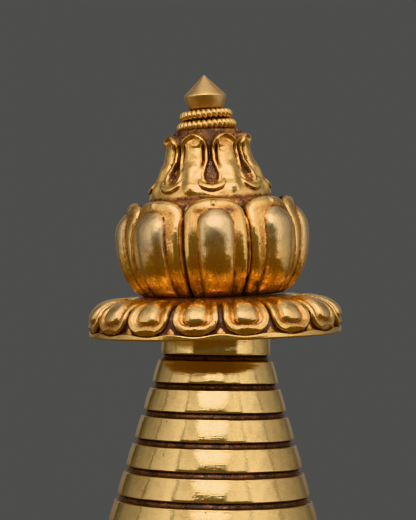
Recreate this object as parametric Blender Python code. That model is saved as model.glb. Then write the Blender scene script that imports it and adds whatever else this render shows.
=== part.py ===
"""The ringed spire, parasol and lotus-bud finial of a small gilt copper-alloy stupa.

Lengths are in millimetres and angles in degrees until a mesh is made, in metres.
+Z is up, the origin is the centre of the seat under the lowest ring, and the front is -Y.
Every profile is a list of (height, radius) points, from its foot upwards.
"""

import math

import bmesh
import bpy
from mathutils import Vector

MM = 0.001
GAP = 0.3  # left between two pieces that touch on the real casting
SHARP_EDGE = 40

# Spire: a stack of bands, counted from the top one, the neck, to the lowest. Each band
# carries the recessed collar that shows in the groove above it.
RING_COUNT = 13
RING_PITCH = 8.8
RING_SIDES = 36
RING_STEP = 2.62  # each band's foot is this much wider than the one above
NECK_RADIUS = 17.35
NECK_DRAFT = 0.25
BAND_HEIGHT = 7.2
BAND_DRAFT = 1.75  # how far a band's face draws in from its foot to its shoulder
SHOULDER_DROP = 0.8
FOOT_ROUNDING = 0.7
GROOVE_DEPTH = 1.1

# Parasol: a pillow-edged disc, measured from the middle of its flat underside.
PARASOL_HEIGHT = 112.2  # of that middle, above the seat
PARASOL_OFFSET = -0.25  # to the left of the spire's axis
PARASOL_LEAN = (3.0, -2.4)  # towards the front, and to the left
DISC_SIDES = 48
DISC_STEPS = 9  # along the profile of its upper face
RIM_RADIUS = 40.0
RIM_HEIGHT = 1.4
RIM_ROUNDING = 0.5
PILLOW_CENTRE = (3.8, 30.0)
PILLOW_AXES = (6.0, 8.5)
PILLOW_POWER = 2.4
PILLOW_TOP_SHARE = 0.32  # of the way from the bud to the rim
PILLOW_EDGE_SHARE = 0.9
CROWN_HEIGHT = 11.3
CROWN_RADIUS = 23.0
PARASOL_PETALS = 16
PARASOL_HALF_WIDTH = 10.7
PARASOL_ROOT_SHARE = 0.06  # where a petal comes out from under the bud
PARASOL_ROUND_END = 0.25  # share of the way that is taken by a petal's rounded end
PARASOL_SEAT = 0.6  # underside of a petal above the disc, clear of the disc's facets
PARASOL_BORDER = 1.3
PARASOL_BORDER_FALL = 0.35
PARASOL_BOSS = 0.5
PARASOL_BOSS_CENTRE = 0.42
PARASOL_BOSS_HALF_LENGTH = 0.3
PARASOL_BOSS_HALF_WIDTH = 0.46  # of the petal's own half width

# Lotus bud: eight lobed petals on a core, measured from the bud's own foot.
BUD_OFFSET = 0.35  # to the right of the parasol's middle
BUD_SEAT = 0.86  # clears the parasol at the low side of the leaning foot
BUD_LEAN = (1.0, -1.65)  # beyond the parasol's own lean
BUD_CREST = 30.3
BUD_POWER = 2.2
BUD_WAIST_HEIGHT = 17.5
BUD_LOWER_HALF = 24.7
BUD_UPPER_HALF = 20.6
BUD_PETALS = 8
BUD_HALF_WIDTH = 21.0
BUD_FOOT = 0.3
BUD_SPRING = 25.0  # height where a petal's arch starts
BUD_ARCH = 5.8
BUD_ARCH_POWER = 2.6
BUD_BOSS = 1.5
BUD_BOSS_HALF_WIDTH = 10.3
BUD_BOSS_TOP = 27.5
BUD_ROUNDING = 2.5  # how far a petal's side edge lies behind its middle
TIP_HEIGHT = 26.0  # from here up the petal stands off the closing bud
TIP_RADIUS = 25.4
TIP_THICKNESS = 1.6
TIP_FREE_FROM = 20.0  # the petal's back leaves the core between these two heights
TIP_FREE_TO = 27.0
CORE_DEPTH = 6.5  # below the crest of the petals
CORE_SIDES = 32
CORE_ROWS = (0, 3, 7, 12, 18, 24)
CORE_SHOULDER = ((27.0, 21.6), (29.4, 20.6), (30.2, 19.5))

# Upper tier: a flared collar with eight columns between drop-shaped hollows.
COLLAR_OUTLINE = (
    (30.5, 19.7),
    (35.0, 18.6),
    (38.9, 15.9),
    (42.7, 13.7),
    (46.6, 12.6),
    (51.2, 12.7),
    (52.5, 9.8),
)
COLLAR_GROUND = (
    (30.5, 19.7),
    (35.0, 18.6),
    (37.0, 16.3),
    (40.0, 13.8),
    (44.7, 11.8),
    (52.5, 9.8),
)
COLLAR_ROWS = (30.5, 33.0, 35.0, 37.0, 39.0, 41.5, 44.5, 48.0, 50.8, 51.4, 52.5)
COLUMN_COUNT = 8
COLUMN_SIDES = 8
COLUMN_HALF_WIDTHS = ((30.5, 22.5), (35.0, 22.5), (37.0, 14.0), (40.0, 14.0), (44.5, 18.5))
COLUMN_FLANK = 3.0  # half the angle over which a column's side falls to the ground
COLUMN_ARCH = (46.0, 51.8)
COLUMN_ARCH_POWER = 2.5

# Stem, two rope rings and the pointed jewel.
STEM = ((52.8, 6.1), (56.4, 6.1), (56.4, 5.1), (59.4, 5.1))
STEM_SIDES = 20
LOWER_ROPE = (54.6, 8.05, 1.5)  # height, radius of the ring, radius of the rope
UPPER_ROPE = (57.85, 7.0, 1.45)
ROPE_STRANDS = 24
ROPE_SIDES = 6
ROPE_NOTCH = 0.25
ROPE_SLANT = 0.7
JEWEL = ((59.7, 5.8), (63.4, 6.7), (69.8, 0.45))
JEWEL_SIDES = 28
JEWEL_POINT = 0.25


def place(name, data, parent=None, turn=0.0):
    """An object that shows this mesh, turned about its parent's upright axis."""
    piece = bpy.data.objects.new(name, data)
    bpy.context.scene.collection.objects.link(piece)
    piece.parent = parent
    piece.rotation_euler.z = math.radians(turn)
    return piece


def finish(name, mesh, material, parent=None, turn=0.0):
    """One named object from a bmesh in millimetres, smooth apart from its real edges."""
    mesh.normal_update()
    bmesh.ops.recalc_face_normals(mesh, faces=mesh.faces)
    bmesh.ops.scale(mesh, vec=(MM, MM, MM), verts=mesh.verts)
    data = bpy.data.meshes.new(name)
    mesh.to_mesh(data)
    mesh.free()
    data.shade_smooth()
    data.set_sharp_from_angle(angle=math.radians(SHARP_EDGE))
    data.materials.append(material)
    return place(name, data, parent, turn)


def on_axis(radius, angle, height):
    """A point at this angle from the front, positive to the right."""
    turned = math.radians(angle)
    return Vector((radius * math.sin(turned), -radius * math.cos(turned), height))


def turned(profile, sides):
    """Turns a profile about the upright axis, with flat ends."""
    mesh = bmesh.new()
    ends = ((profile[0][0], 0), *profile, (profile[-1][0], 0))
    points = [mesh.verts.new((radius, 0, height)) for height, radius in ends]
    edges = [mesh.edges.new(pair) for pair in zip(points, points[1:])]
    bmesh.ops.spin(
        mesh,
        geom=points + edges,
        cent=(0, 0, 0),
        axis=(0, 0, 1),
        angle=math.tau,
        steps=sides,
        use_merge=True,
    )
    bmesh.ops.remove_doubles(mesh, verts=mesh.verts, dist=0.001)
    return mesh


def shell(outer, inner, columns, rows):
    """A closed petal: a grid is extruded, then its two sides follow outer and inner."""
    mesh = bmesh.new()
    bmesh.ops.create_grid(mesh, x_segments=columns, y_segments=rows, size=1.0)
    back = list(mesh.verts)
    made = bmesh.ops.extrude_face_region(mesh, geom=mesh.faces[:])
    front = [item for item in made["geom"] if isinstance(item, bmesh.types.BMVert)]
    for surface, points in ((outer, front), (inner, back)):
        for point in points:
            point.co = surface(point.co.x, (point.co.y + 1) / 2)
    return mesh


def skin(mesh, near, far):
    """Joins two closed loops of as many points with a band of quads."""
    count = len(near)
    for number in range(count):
        after = (number + 1) % count
        mesh.faces.new((near[number], near[after], far[after], far[number]))


def along(table, position):
    """Reads a (position, value) table with straight runs between its entries."""
    for (low, first), (high, last) in zip(table, table[1:]):
        if position <= high:
            share = (position - low) / (high - low)
            return first + (last - first) * share
    return table[-1][1]


def smooth(value):
    share = min(1.0, max(0.0, value))
    return share * share * (3 - 2 * share)


def rounded(across, power=2.0):
    """Height of a round end, 1 in the middle and 0 at across = -1 and 1."""
    return max(0.0, 1 - abs(across) ** power) ** (1 / power)


def gilding(name, colour, roughness):
    material = bpy.data.materials.new(name)
    material.use_nodes = True
    shader = material.node_tree.nodes["Principled BSDF"]
    shader.inputs["Base Color"].default_value = (*colour, 1)
    shader.inputs["Metallic"].default_value = 1.0
    shader.inputs["Roughness"].default_value = roughness
    return material


def frame(name, offset, height, lean, parent=None):
    """An empty whose upright axis leans towards the front and to the left."""
    empty = bpy.data.objects.new(name, None)
    bpy.context.scene.collection.objects.link(empty)
    empty.parent = parent
    empty.location = (offset * MM, 0, height * MM)
    empty.rotation_euler = (math.radians(lean[0]), math.radians(lean[1]), 0)
    return empty


# Spire


def foot_of(number):
    """Height of a band's foot; number 0 is the neck, under the parasol."""
    return (RING_COUNT - 1 - number) * RING_PITCH


def groove_radius(height):
    """The bottoms of all the grooves lie on one straight taper."""
    from_neck = (foot_of(0) - height) / RING_PITCH
    return NECK_RADIUS - GROOVE_DEPTH + RING_STEP * from_neck


def make_rings(material):
    for number in range(RING_COUNT - 1, 0, -1):
        foot = foot_of(number)
        top = foot + BAND_HEIGHT
        seat = foot_of(number - 1) - GAP
        radius = NECK_RADIUS + RING_STEP * number
        profile = (
            (foot, radius - FOOT_ROUNDING / 2),
            (foot + FOOT_ROUNDING, radius),
            (top - SHOULDER_DROP, radius - BAND_DRAFT),
            (top, groove_radius(top)),
            (seat, groove_radius(seat)),
        )
        name = f"ring_{RING_COUNT - number:02d}"
        finish(name, turned(profile, RING_SIDES), material)


def make_neck(material, parasol_frame):
    """The top band is a plain collar, cut on the slant of the leaning parasol."""
    foot = foot_of(0)
    top = foot + BAND_HEIGHT
    profile = (
        (foot, NECK_RADIUS - FOOT_ROUNDING / 2),
        (foot + FOOT_ROUNDING, NECK_RADIUS),
        (top, NECK_RADIUS - NECK_DRAFT),
    )
    neck = turned(profile, RING_SIDES)
    upright = parasol_frame.matrix_world.to_3x3() @ Vector((0, 0, 1))
    middle = (foot + top) / 2
    for point in neck.verts:
        if point.co.z > middle:
            across = upright.x * (point.co.x - PARASOL_OFFSET)
            slant = (across + upright.y * point.co.y) / upright.z
            point.co.z = PARASOL_HEIGHT - slant - GAP
    finish("neck_ring", neck, material)


# Parasol


def parasol_face(share, lift):
    """(height, radius) over the upper face, from the bud (0) to the rim (1)."""
    centre_height, centre_radius = PILLOW_CENTRE
    high, wide = (axis + lift for axis in PILLOW_AXES)
    if share < PILLOW_TOP_SHARE:
        inward = 1 - share / PILLOW_TOP_SHARE
        rise = CROWN_HEIGHT - centre_height - PILLOW_AXES[0]
        radius = centre_radius + (CROWN_RADIUS - centre_radius) * inward
        return centre_height + high + rise * inward, radius
    if share < PILLOW_EDGE_SHARE:
        past_top = share - PILLOW_TOP_SHARE
        turn = past_top / (PILLOW_EDGE_SHARE - PILLOW_TOP_SHARE) * math.pi / 2
        power = 2 / PILLOW_POWER
        height = centre_height + high * math.cos(turn) ** power
        return height, centre_radius + wide * math.sin(turn) ** power
    drop = (share - PILLOW_EDGE_SHARE) / (1 - PILLOW_EDGE_SHARE)
    height = centre_height + (RIM_HEIGHT + GAP - centre_height) * drop
    return height, centre_radius + wide


def make_disc(material, parent):
    upper = [parasol_face(1 - step / DISC_STEPS, 0) for step in range(1, DISC_STEPS + 1)]
    profile = (
        (0, RIM_RADIUS - RIM_ROUNDING),
        (RIM_ROUNDING, RIM_RADIUS),
        (RIM_HEIGHT, RIM_RADIUS),
        (RIM_HEIGHT, upper[0][1]),
        *upper,
    )
    finish("parasol_disc", turned(profile, DISC_SIDES), material, parent)


def parasol_seat(across, share):
    return PARASOL_SEAT


def parasol_relief(across, share):
    """Height of a petal's face above the disc: a soft border and a drop-shaped boss."""
    border = PARASOL_BORDER - PARASOL_BORDER_FALL * across**4
    sideways = across / PARASOL_BOSS_HALF_WIDTH
    lengthwise = (share - PARASOL_BOSS_CENTRE) / PARASOL_BOSS_HALF_LENGTH
    return border + PARASOL_BOSS * rounded(math.hypot(sideways, lengthwise))


def parasol_side(lift):
    """One side of a parasol petal, at this lift above the disc."""

    def point(across, along_petal):
        end = 1 - PARASOL_ROUND_END * (1 - rounded(across))
        share = PARASOL_ROOT_SHARE + (end - PARASOL_ROOT_SHARE) * along_petal
        height, radius = parasol_face(share, lift(across, share))
        return on_axis(radius, across * PARASOL_HALF_WIDTH, height)

    return point


def make_parasol_petals(material, parent):
    petal = shell(parasol_side(parasol_relief), parasol_side(parasol_seat), 6, 7)
    step = 360 / PARASOL_PETALS
    first = finish("parasol_petal_01", petal, material, parent, step / 2)
    for number in range(1, PARASOL_PETALS):
        name = f"parasol_petal_{number + 1:02d}"
        place(name, first.data, parent, (number + 0.5) * step)


# Lotus bud


def bud_crest(height):
    """Radius over the middle of a petal."""
    half = BUD_LOWER_HALF if height < BUD_WAIST_HEIGHT else BUD_UPPER_HALF
    return BUD_CREST * rounded((height - BUD_WAIST_HEIGHT) / half, BUD_POWER)


def bud_face(across, height):
    """Radius of a petal's face without its boss; the tip stands off the bud."""
    radius = bud_crest(min(height, TIP_HEIGHT)) - BUD_BOSS
    if height > TIP_HEIGHT:
        share = (height - TIP_HEIGHT) / (BUD_SPRING + BUD_ARCH - TIP_HEIGHT)
        radius += (TIP_RADIUS - radius) * share
    return radius - BUD_ROUNDING * across**2


def bud_height(across, along_petal):
    """A petal's rows run from its foot to its round-shouldered arch."""
    top = BUD_SPRING + BUD_ARCH * rounded(across, BUD_ARCH_POWER)
    return BUD_FOOT + (top - BUD_FOOT) * along_petal


def bud_outer(across, along_petal):
    height = bud_height(across, along_petal)
    angle = across * BUD_HALF_WIDTH
    middle = BUD_BOSS_TOP / 2
    reach = (angle / BUD_BOSS_HALF_WIDTH) ** 2 + ((height - middle) / middle) ** 4
    boss = BUD_BOSS * math.sqrt(max(0.0, 1 - reach))
    return on_axis(bud_face(across, height) + boss, angle, height)


def bud_inner(across, along_petal):
    height = bud_height(across, along_petal)
    seat = bud_crest(height) - CORE_DEPTH + GAP
    free = bud_face(across, height) - TIP_THICKNESS
    blend = smooth((height - TIP_FREE_FROM) / (TIP_FREE_TO - TIP_FREE_FROM))
    return on_axis(seat + (free - seat) * blend, across * BUD_HALF_WIDTH, height)


def make_bud_core(material, parent):
    side = [(height, bud_crest(height) - CORE_DEPTH) for height in CORE_ROWS]
    core = turned((*side, *CORE_SHOULDER), CORE_SIDES)
    finish("bud_core", core, material, parent)


def make_bud_petals(material, parent):
    petal = shell(bud_outer, bud_inner, 8, 9)
    first = finish("bud_petal_1", petal, material, parent)
    for number in range(1, BUD_PETALS):
        turn = number * 360 / BUD_PETALS
        place(f"bud_petal_{number + 1}", first.data, parent, turn)


# Upper tier and finial


def column_share(angle, height):
    """1 on the face of a column, 0 on the ground of a hollow or above an arch."""
    start, end = COLUMN_ARCH
    arch = rounded(max(0.0, height - start) / (end - start), COLUMN_ARCH_POWER)
    width = along(COLUMN_HALF_WIDTHS, height) * arch
    if width < COLUMN_FLANK:
        return 0.0
    step = 360 / COLUMN_COUNT
    from_column = abs(angle % step - step / 2)
    return smooth((width + COLUMN_FLANK - from_column) / (2 * COLUMN_FLANK))


def make_collar(material, parent):
    count = COLUMN_COUNT * COLUMN_SIDES
    mesh = bmesh.new()
    loops = []
    for height in COLLAR_ROWS:
        ground = along(COLLAR_GROUND, height)
        raised = along(COLLAR_OUTLINE, height) - ground
        loop = []
        for number in range(count):
            angle = 360 * number / count
            radius = ground + raised * column_share(angle, height)
            loop.append(mesh.verts.new(on_axis(radius, angle, height)))
        loops.append(loop)
    for low, high in zip(loops, loops[1:]):
        skin(mesh, low, high)
    mesh.faces.new(reversed(loops[0]))
    mesh.faces.new(loops[-1])
    finish("lotus_collar", mesh, material, parent)


def make_rope(name, size, material, parent):
    """A twisted ring: every second section is notched, and each section is slanted."""
    height, radius, rope = size
    sections = 2 * ROPE_STRANDS
    step = 360 / sections
    mesh = bmesh.new()
    loops = []
    for section in range(sections):
        thick = rope - (ROPE_NOTCH if section % 2 else 0)
        loop = []
        for number in range(ROPE_SIDES):
            around = math.tau * number / ROPE_SIDES
            angle = step * (section + ROPE_SLANT * math.sin(around))
            outward = radius + thick * math.cos(around)
            point = on_axis(outward, angle, height + thick * math.sin(around))
            loop.append(mesh.verts.new(point))
        loops.append(loop)
    for section in range(sections):
        skin(mesh, loops[section], loops[(section + 1) % sections])
    finish(name, mesh, material, parent)


def make_finial(bright, dark, parent):
    finish("jewel_stem", turned(STEM, STEM_SIDES), dark, parent)
    make_rope("rope_ring_lower", LOWER_ROPE, bright, parent)
    make_rope("rope_ring_upper", UPPER_ROPE, bright, parent)
    jewel = turned(JEWEL, JEWEL_SIDES)
    point = max(jewel.verts, key=lambda vert: (vert.co.z, -vert.co.xy.length))
    point.co.z += JEWEL_POINT
    finish("jewel", jewel, bright, parent)


def main():
    for old in list(bpy.data.objects):
        bpy.data.objects.remove(old)
    burnished = gilding("burnished gilding", (0.80, 0.60, 0.28), 0.22)
    chased = gilding("chased gilding", (0.72, 0.48, 0.16), 0.3)
    patina = gilding("recess patina", (0.14, 0.07, 0.03), 0.5)

    parasol_frame = frame("parasol_frame", PARASOL_OFFSET, PARASOL_HEIGHT, PARASOL_LEAN)
    bud_foot = CROWN_HEIGHT + BUD_SEAT
    bud_frame = frame("bud_frame", BUD_OFFSET, bud_foot, BUD_LEAN, parasol_frame)
    bpy.context.view_layer.update()

    make_rings(burnished)
    make_neck(burnished, parasol_frame)
    make_disc(chased, parasol_frame)
    make_parasol_petals(chased, parasol_frame)
    make_bud_core(patina, bud_frame)
    make_bud_petals(chased, bud_frame)
    make_collar(chased, bud_frame)
    make_finial(burnished, patina, bud_frame)


main()
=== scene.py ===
import math

import bmesh
import bpy
import numpy as np
from mathutils import Euler, Matrix, Vector


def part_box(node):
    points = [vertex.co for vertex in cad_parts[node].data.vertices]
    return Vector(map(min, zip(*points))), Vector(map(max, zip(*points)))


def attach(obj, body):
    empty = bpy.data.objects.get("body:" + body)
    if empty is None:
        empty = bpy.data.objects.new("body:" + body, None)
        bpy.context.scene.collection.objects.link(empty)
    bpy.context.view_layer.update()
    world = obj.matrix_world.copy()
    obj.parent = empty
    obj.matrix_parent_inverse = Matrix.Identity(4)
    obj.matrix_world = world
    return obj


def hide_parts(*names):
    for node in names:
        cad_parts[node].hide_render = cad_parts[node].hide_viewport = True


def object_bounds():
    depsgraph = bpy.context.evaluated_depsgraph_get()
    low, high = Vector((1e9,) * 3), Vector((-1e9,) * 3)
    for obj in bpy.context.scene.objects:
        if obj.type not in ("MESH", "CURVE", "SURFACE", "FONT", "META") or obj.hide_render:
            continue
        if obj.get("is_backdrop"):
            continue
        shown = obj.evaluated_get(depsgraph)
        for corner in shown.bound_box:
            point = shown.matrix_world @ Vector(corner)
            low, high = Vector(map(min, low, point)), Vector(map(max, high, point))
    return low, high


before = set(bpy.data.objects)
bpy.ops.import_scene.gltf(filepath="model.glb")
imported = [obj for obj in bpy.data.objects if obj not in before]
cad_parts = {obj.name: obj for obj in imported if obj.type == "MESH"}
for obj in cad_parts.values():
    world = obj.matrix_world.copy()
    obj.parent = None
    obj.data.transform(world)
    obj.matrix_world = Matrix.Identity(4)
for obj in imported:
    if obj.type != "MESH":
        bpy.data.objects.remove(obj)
cad_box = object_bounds()


# Twelve rings of the spire, widest at the foot. They are one casting in copper alloy, turned,
# filed nearly true by hand, fire-gilt and rubbed bright with a stone. Each ring's recessed
# collar keeps its soil, and shows as the groove under the next ring.
MM = 0.001
RING_NAMES = [f"ring_{number:02d}" for number in range(1, 13)]
RING_SIDES = 256
RING_BAND = 7.2
RING_DRAFT = 1.75
RING_SWELL = 0.14  # the filed face is a little convex
FOOT_ROUNDING = 0.3
GROOVE_DEPTH = 1.1
FILED_FACET = 9.0  # width of one filed facet
FILED_DEPTH = 0.1
HUB_RADIUS = 12.0  # of the circle the profile is swept round
RIM_DRIFT = 0.4  # how far a ring's edges wander up and down
DRIFT_LENGTH = 14.0
AXIS = -1000.0  # marks a profile's ends, which close on the spire's axis


def linear(code):
    """The linear colour of an sRGB hex value."""
    parts = [int(code[at : at + 2], 16) / 255 for at in (1, 3, 5)]
    levels = [
        part / 12.92 if part <= 0.04045 else ((part + 0.055) / 1.055) ** 2.4 for part in parts
    ]
    return (*levels, 1.0)


def add(tree, kind, inputs, stops=(), **settings):
    """Adds a node. An input is a number, a colour, or the node or socket that feeds it."""
    node = tree.nodes.new(kind)
    for name, value in settings.items():
        setattr(node, name, value)
    for name, value in inputs.items():
        if isinstance(value, bpy.types.Node):
            value = value.outputs[0]
        if isinstance(value, bpy.types.NodeSocket):
            tree.links.new(value, node.inputs[name])
        else:
            node.inputs[name].default_value = value
    for number, (position, code) in enumerate(stops):
        points = node.color_ramp.elements
        point = points[number] if number < 2 else points.new(position)
        point.position = position
        point.color = linear(code)
    return node


def gilding(
    name, stops, worn, polish, dull, strokes, follows_surface, pitting, tooling, grain, mottling
):
    """Fire gilding on a cast copper alloy, from its proud faces (recess 0) to its soil (1).

    Mercury gilding is a thin metal film: bright and pale where it was rubbed, orange and
    matt where the burnisher couldn't reach, and lost under brown soil in the crevices. An
    ambient occlusion term also paints shade into the crevices and the joints between parts.
    A thin coat of wax lies over all of it.
    strokes is how many marks a millimetre the rubbing left, in each of three directions, and
    tooling is how deep the chasing tool's dimples are and grain how deep the finest roughness,
    in millimetres. mottling is how far the film's tone wanders, 1 for an ordinary piece.
    """
    material = bpy.data.materials.new(name)
    material.use_nodes = True
    tree = material.node_tree
    shader = tree.nodes["Principled BSDF"]
    place = add(tree, "ShaderNodeTexCoord", {}).outputs["Object"]
    recess = add(tree, "ShaderNodeAttribute", {}, attribute_name="recess").outputs["Fac"]
    wear = add(tree, "ShaderNodeAttribute", {}, attribute_name="wear").outputs["Fac"]
    surface = add(tree, "ShaderNodeAttribute", {}, attribute_name="lay").outputs["Vector"]
    blotches = add(
        tree,
        "ShaderNodeTexNoise",
        {"Vector": place, "Scale": 1 / (9.0 * MM), "Detail": 5.0, "Roughness": 0.62},
    )
    grains = add(
        tree,
        "ShaderNodeTexNoise",
        {"Vector": place, "Scale": 1 / (0.8 * MM), "Detail": 3.0, "Roughness": 0.7},
    )
    stretched = add(
        tree,
        "ShaderNodeMapping",
        {
            "Vector": surface if follows_surface else place,
            "Scale": [count / MM for count in strokes],
        },
    )
    marks = add(
        tree,
        "ShaderNodeTexNoise",
        {"Vector": stretched, "Scale": 1.0, "Detail": 4.0, "Roughness": 0.6},
    )
    # Painted shade: an ambient occlusion term darkens crevices and the joints between parts, on top of
    # the recess soil.
    ambient_occlusion = add(
        tree, "ShaderNodeAmbientOcclusion", {"Distance": 2.2 * MM}, samples=8
    ).outputs["AO"]
    occlusion_shade = add(
        tree,
        "ShaderNodeMapRange",
        {"Value": ambient_occlusion, "From Min": 0.75, "From Max": 0.15, "To Min": 0.0, "To Max": 0.4},
    )
    drifted = add(
        tree,
        "ShaderNodeMapRange",
        {
            "Value": blotches,
            "From Min": 0.3,
            "From Max": 0.7,
            "To Min": -0.14 * mottling,
            "To Max": 0.16 * mottling,
        },
    )
    speckled = add(
        tree,
        "ShaderNodeMapRange",
        {
            "Value": grains,
            "From Min": 0.3,
            "From Max": 0.7,
            "To Min": -0.2 * mottling,
            "To Max": 0.24 * mottling,
        },
    )
    # The recess soil and the painted occlusion shade are summed here; both darken the gilt below.
    soil_and_occlusion_shade = add(tree, "ShaderNodeMath", {0: recess, 1: occlusion_shade}, operation="ADD")
    loose = add(tree, "ShaderNodeMath", {0: drifted, 1: speckled}, operation="ADD")
    edge_of_soil = add(
        tree,
        "ShaderNodeMapRange",
        {"Value": soil_and_occlusion_shade, "From Min": 0.0, "From Max": 0.4, "To Min": 0.6, "To Max": 1.0},
    )
    scorches = add(
        tree,
        "ShaderNodeTexNoise",
        {"Vector": place, "Scale": 1 / (2.6 * MM), "Detail": 6.0, "Roughness": 0.65},
    )
    scorched = add(
        tree,
        "ShaderNodeMapRange",
        {"Value": scorches, "From Min": 0.5, "From Max": 0.62, "To Min": 0.0, "To Max": 0.6},
    )
    matt = add(
        tree,
        "ShaderNodeMapRange",
        {"Value": recess, "From Min": 0.32, "From Max": 0.55, "To Min": 0.0, "To Max": 1.0},
    )
    laden = add(tree, "ShaderNodeMath", {0: scorched, 1: matt, 2: soil_and_occlusion_shade}, operation="MULTIPLY_ADD")
    # soil is the recess soil with the painted occlusion shade added in.
    soil = add(
        tree,
        "ShaderNodeMath",
        {0: loose, 1: edge_of_soil, 2: laden},
        operation="MULTIPLY_ADD",
        use_clamp=True,
    )
    cells = add(
        tree,
        "ShaderNodeTexVoronoi",
        {"Vector": place, "Scale": 1 / (3.4 * MM), "Randomness": 1.0},
    )
    pit = add(
        tree,
        "ShaderNodeMapRange",
        {"Value": cells, "From Min": 0.05, "From Max": 0.14, "To Min": 1.0, "To Max": 0.0},
    )
    chosen = add(
        tree,
        "ShaderNodeMapRange",
        {"Value": blotches, "From Min": 0.56, "From Max": 0.6, "To Min": 0.0, "To Max": pitting},
    )
    pitted = add(tree, "ShaderNodeMath", {0: pit, 1: chosen}, operation="MULTIPLY")
    dark = add(tree, "ShaderNodeMath", {0: soil, 1: pitted}, operation="MAXIMUM")
    glints = add(
        tree,
        "ShaderNodeMapRange",
        {"Value": grains, "From Min": 0.54, "From Max": 0.68, "To Min": 0.0, "To Max": 0.5},
    )
    kept = add(tree, "ShaderNodeMath", {0: glints, 1: soil}, operation="MULTIPLY")
    dark = add(tree, "ShaderNodeMath", {0: dark, 1: kept}, operation="SUBTRACT", use_clamp=True)
    gilt = add(tree, "ShaderNodeValToRGB", {"Fac": dark}, stops=stops)
    patchy = add(
        tree,
        "ShaderNodeMapRange",
        {"Value": blotches, "From Min": 0.35, "From Max": 0.65, "To Min": 0.45, "To Max": 1.05},
    )
    bared = add(tree, "ShaderNodeMath", {0: wear, 1: patchy}, operation="MULTIPLY")
    colour = add(
        tree,
        "ShaderNodeMix",
        {0: bared, 6: gilt, 7: linear(worn)},
        data_type="RGBA",
    )
    tree.links.new(colour.outputs[2], shader.inputs["Base Color"])
    metallic = add(
        tree,
        "ShaderNodeMapRange",
        {"Value": dark, "From Min": 0.6, "From Max": 0.95, "To Min": 0.97, "To Max": 0.35},
    )
    tree.links.new(metallic.outputs[0], shader.inputs["Metallic"])
    shader.inputs["Coat Weight"].default_value = 0.35
    shader.inputs["Coat Roughness"].default_value = 0.12
    rubbed = add(
        tree,
        "ShaderNodeMapRange",
        {"Value": dark, "From Min": 0.16, "From Max": 0.8, "To Min": polish, "To Max": dull},
    )
    brushed = add(
        tree,
        "ShaderNodeMapRange",
        {"Value": marks, "From Min": 0.3, "From Max": 0.7, "To Min": -0.05, "To Max": 0.06},
    )
    thin = add(tree, "ShaderNodeMath", {0: bared, 1: 0.16, 2: rubbed}, operation="MULTIPLY_ADD")
    roughness = add(tree, "ShaderNodeMath", {0: thin, 1: brushed}, operation="ADD")
    tree.links.new(roughness.outputs[0], shader.inputs["Roughness"])
    crusted = add(tree, "ShaderNodeMath", {0: soil, 1: 0.4}, operation="ADD")
    worked = add(
        tree, "ShaderNodeMath", {0: grains, 1: crusted, 2: marks}, operation="MULTIPLY_ADD"
    )
    height = add(
        tree, "ShaderNodeMath", {0: pitted, 1: -1.5, 2: worked}, operation="MULTIPLY_ADD"
    )
    dimples = add(
        tree,
        "ShaderNodeTexNoise",
        {"Vector": place, "Scale": 1 / (3.2 * MM), "Detail": 1.0},
    )
    dimpled = add(
        tree, "ShaderNodeBump", {"Height": dimples, "Strength": 1.0, "Distance": tooling * MM}
    )
    bump = add(
        tree,
        "ShaderNodeBump",
        {"Height": height, "Strength": 0.5, "Distance": grain * MM, "Normal": dimpled},
    )
    tree.links.new(bump.outputs[0], shader.inputs["Normal"])
    return material


def shape_tree(name, sizes):
    """An empty Geometry Nodes tree with a named input for each size."""
    tree = bpy.data.node_groups.new(name, "GeometryNodeTree")
    tree.interface.new_socket("Geometry", in_out="INPUT", socket_type="NodeSocketGeometry")
    tree.interface.new_socket("Geometry", in_out="OUTPUT", socket_type="NodeSocketGeometry")
    for size, value in sizes.items():
        kind = "NodeSocketInt" if isinstance(value, int) else "NodeSocketFloat"
        tree.interface.new_socket(size, in_out="INPUT", socket_type=kind)
    return tree, add(tree, "NodeGroupInput", {})


def grown(name, start, tree, sizes):
    """Runs a Geometry Nodes tree on a mesh and keeps the result as a plain mesh."""
    piece = bpy.data.objects.new(name, start)
    bpy.context.scene.collection.objects.link(piece)
    modifier = piece.modifiers.new(name, "NODES")
    modifier.node_group = tree
    for socket in tree.interface.items_tree:
        if socket.name in sizes:
            modifier[socket.identifier] = sizes[socket.name]
    shaped = piece.evaluated_get(bpy.context.evaluated_depsgraph_get())
    result = bpy.data.meshes.new_from_object(shaped)
    piece.modifiers.clear()
    piece.data = result
    return piece


def close_up(data, lean=None):
    """Merges a mesh's doubles, points its faces outwards, and leans it into place."""
    mesh = bmesh.new()
    mesh.from_mesh(data)
    bmesh.ops.remove_doubles(mesh, verts=mesh.verts, dist=0.002 * MM)
    mesh.normal_update()
    bmesh.ops.recalc_face_normals(mesh, faces=mesh.faces)
    mesh.to_mesh(data)
    mesh.free()
    if lean:
        data.transform(lean)
    data.shade_smooth()


def fit(piece, nodes):
    """Puts a finished piece in the place of its CAD nodes."""
    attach(piece, "root")
    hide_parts(*nodes)


RING_SIZES = {
    "Rings": 12,
    "Pitch": 0.0,
    "Foot radius": 0.0,
    "Step": 0.0,
    "Sides": RING_SIDES,
    "Facet depth": FILED_DEPTH * MM,
    "Facet width": FILED_FACET * MM,
    "Drift": RIM_DRIFT * MM,
    "Drift length": DRIFT_LENGTH * MM,
}


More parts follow.
